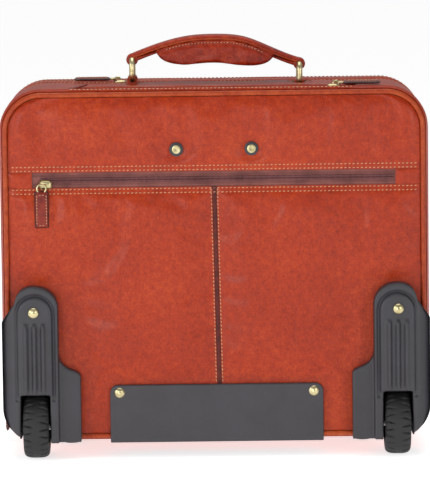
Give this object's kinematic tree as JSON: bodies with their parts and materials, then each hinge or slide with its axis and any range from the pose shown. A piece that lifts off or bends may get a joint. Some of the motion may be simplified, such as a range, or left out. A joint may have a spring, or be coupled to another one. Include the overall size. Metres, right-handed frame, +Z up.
{
  "type": "rolling laptop case",
  "caption": "Rolling laptop case in tan leather with a telescopic trolley handle, carry handle, zipped compartments and rear wheels.",
  "frame": {"origin": "on the ground under the middle of the case", "axes": "+X across the width, -Y towards the rear wheel side, +Z up"},
  "size_m": [0.4327, 0.214, 0.42],
  "materials": {
    "tan_leather": "satin, fine pebbled grain, cream stitching",
    "seam_leather": "satin, dark seam",
    "piping_leather": "satin",
    "zip_tape": "woven tape with nylon coil",
    "board": "pressed board",
    "lining": "woven lining",
    "black_plastic": "moulded, fine texture",
    "brass": "pale satin",
    "aluminium_tube": "satin anodised",
    "tyre_rubber": "moulded tread",
    "hub_plastic": "moulded",
    "bearing_steel": "ground"
  },
  "bodies": {
    "case": {"rear_upper_panel": "tan_leather", "rear_lower_panel_left": "tan_leather", "rear_lower_panel_right": "tan_leather", "rear_centre_strip": "seam_leather", "rear_zip_end_patches": "tan_leather", "rear_zip_tape": "zip_tape", "rear_board": "board", "rear_piping": "piping_leather", "top_gusset": "tan_leather", "side_gusset_left": "tan_leather", "side_gusset_right": "tan_leather", "bottom_panel": "tan_leather", "side_panels": "tan_leather", "main_zip_tape_rear": "zip_tape", "trolley_zip_tape": "zip_tape", "chamber_wall": "lining", "front_feet": "black_plastic", "wheel_housing_left": "black_plastic", "wheel_housing_right": "black_plastic", "skid_plate": "black_plastic", "brass_rivets": "brass", "wheel_axles": "bearing_steel", "trolley_outer_tubes": "aluminium_tube", "trolley_brackets": "black_plastic", "bracket_screws": "brass", "screw_washers": "black_plastic", "handle_bases": "tan_leather"},
    "trolley_lower": {"trolley_middle_tubes": "aluminium_tube"},
    "trolley_upper": {"trolley_inner_tubes": "aluminium_tube", "trolley_grip": "black_plastic"},
    "trolley_button": {"release_button": "black_plastic"},
    "wheel_left": {"tyre_left": "tyre_rubber", "hub_left": "hub_plastic", "bearings_left": "bearing_steel"},
    "wheel_right": {"tyre_right": "tyre_rubber", "hub_right": "hub_plastic", "bearings_right": "bearing_steel"},
    "ring_left": {"handle_ring_left": "brass"},
    "carry_handle": {"carry_handle_strap": "tan_leather", "carry_handle_pad": "tan_leather"},
    "ring_right": {"handle_ring_right": "brass"},
    "rear_slider": {"rear_zip_slider": "brass"},
    "rear_puller": {"rear_zip_puller": "tan_leather"},
    "trolley_slider": {"trolley_zip_slider": "brass"},
    "trolley_puller": {"trolley_zip_puller": "tan_leather"},
    "main_slider_top": {"main_zip_slider_top": "brass"},
    "main_puller_top": {"main_zip_puller_top": "tan_leather"},
    "main_slider_side": {"main_zip_slider_side": "brass"},
    "main_puller_side": {"main_zip_puller_side": "tan_leather"},
    "laptop_slider": {"laptop_zip_slider": "brass"},
    "laptop_puller": {"laptop_zip_puller": "tan_leather"},
    "front_section": {"front_section_gusset": "tan_leather", "divider": "lining", "main_zip_tape_front": "zip_tape", "laptop_zip_tape_rear": "zip_tape"},
    "front_lid": {"front_lid_gusset": "tan_leather", "front_panel": "tan_leather", "front_piping": "piping_leather", "front_pocket": "tan_leather", "laptop_zip_tape_front": "zip_tape"}
  },
  "joints": [
    {"name": "trolley_lower_stage", "type": "slide", "parent": "case", "child": "trolley_lower", "axis": [0, 0, 1], "range_m": [0, 0.25]},
    {"name": "trolley_upper_stage", "type": "slide", "parent": "trolley_lower", "child": "trolley_upper", "axis": [0, 0, 1], "range_m": [0, 0.25]},
    {"name": "release_button_press", "type": "slide", "parent": "trolley_upper", "child": "trolley_button", "axis": [0, 0, -1], "range_m": [0, 0.002], "stiffness_N_per_m": 600},
    {"name": "wheel_left_turn", "type": "hinge", "parent": "case", "child": "wheel_left", "pos_m": [-0.1813, -0.075, 0.032], "axis": [1, 0, 0], "continuous": true},
    {"name": "wheel_right_turn", "type": "hinge", "parent": "case", "child": "wheel_right", "pos_m": [0.1813, -0.075, 0.032], "axis": [1, 0, 0], "continuous": true},
    {"name": "handle_ring_left_swing", "type": "hinge", "parent": "case", "child": "ring_left", "pos_m": [-0.082, 0.011, 0.375], "axis": [0, 1, 0], "range_deg": [-45, 45]},
    {"name": "carry_handle_level", "type": "hinge", "parent": "ring_left", "child": "carry_handle", "pos_m": [-0.082, 0.011, 0.395], "axis": [0, 1, 0], "range_deg": [-45, 45]},
    {"name": "handle_ring_right_swing", "type": "hinge", "parent": "case", "child": "ring_right", "pos_m": [0.088, 0.011, 0.369], "axis": [0, 1, 0], "range_deg": [-45, 45]},
    {"name": "rear_zip", "type": "slide", "parent": "case", "child": "rear_slider", "axis": [1, 0, 0], "range_m": [0, 0.342]},
    {"name": "rear_puller_swing", "type": "hinge", "parent": "rear_slider", "child": "rear_puller", "pos_m": [-0.1725, -0.087, 0.2761], "axis": [-1, 0, 0], "range_deg": [0, 150]},
    {"name": "trolley_zip", "type": "slide", "parent": "case", "child": "trolley_slider", "axis": [-1, 0, 0], "range_m": [0, 0.24]},
    {"name": "trolley_puller_swing", "type": "hinge", "parent": "trolley_slider", "child": "trolley_puller", "pos_m": [0.1242, -0.063, 0.3738], "axis": [0, -1, 0], "range_deg": [0, 150]},
    {"name": "main_zip_top", "type": "slide", "parent": "case", "child": "main_slider_top", "axis": [1, 0, 0], "range_m": [-0.06, 0.25]},
    {"name": "main_puller_top_swing", "type": "hinge", "parent": "main_slider_top", "child": "main_puller_top", "pos_m": [-0.0992, 0.039, 0.3738], "axis": [0, 1, 0], "range_deg": [0, 150]},
    {"name": "main_zip_side", "type": "slide", "parent": "case", "child": "main_slider_side", "axis": [0, 0, 1], "range_m": [0, 0.23]},
    {"name": "main_puller_side_swing", "type": "hinge", "parent": "main_slider_side", "child": "main_puller_side", "pos_m": [-0.2168, 0.039, 0.0538], "axis": [0, 1, 0], "range_deg": [0, 150]},
    {"name": "laptop_zip_side", "type": "slide", "parent": "front_section", "child": "laptop_slider", "axis": [0, 0, 1], "range_m": [0, 0.23]},
    {"name": "laptop_puller_swing", "type": "hinge", "parent": "laptop_slider", "child": "laptop_puller", "pos_m": [-0.2168, 0.081, 0.0578], "axis": [0, 1, 0], "range_deg": [0, 150]},
    {"name": "main_compartment_opens", "type": "hinge", "parent": "case", "child": "front_section", "pos_m": [0, 0.039, 0.0185], "axis": [-1, 0, 0], "range_deg": [0, 75]},
    {"name": "laptop_compartment_opens", "type": "hinge", "parent": "front_section", "child": "front_lid", "pos_m": [0, 0.081, 0.0185], "axis": [-1, 0, 0], "range_deg": [0, 75]}
  ],
  "couplings": [
    {"joint": "carry_handle_level", "follows": "handle_ring_left_swing", "ratio": -1},
    {"joint": "handle_ring_right_swing", "follows": "handle_ring_left_swing", "ratio": 1}
  ]
}
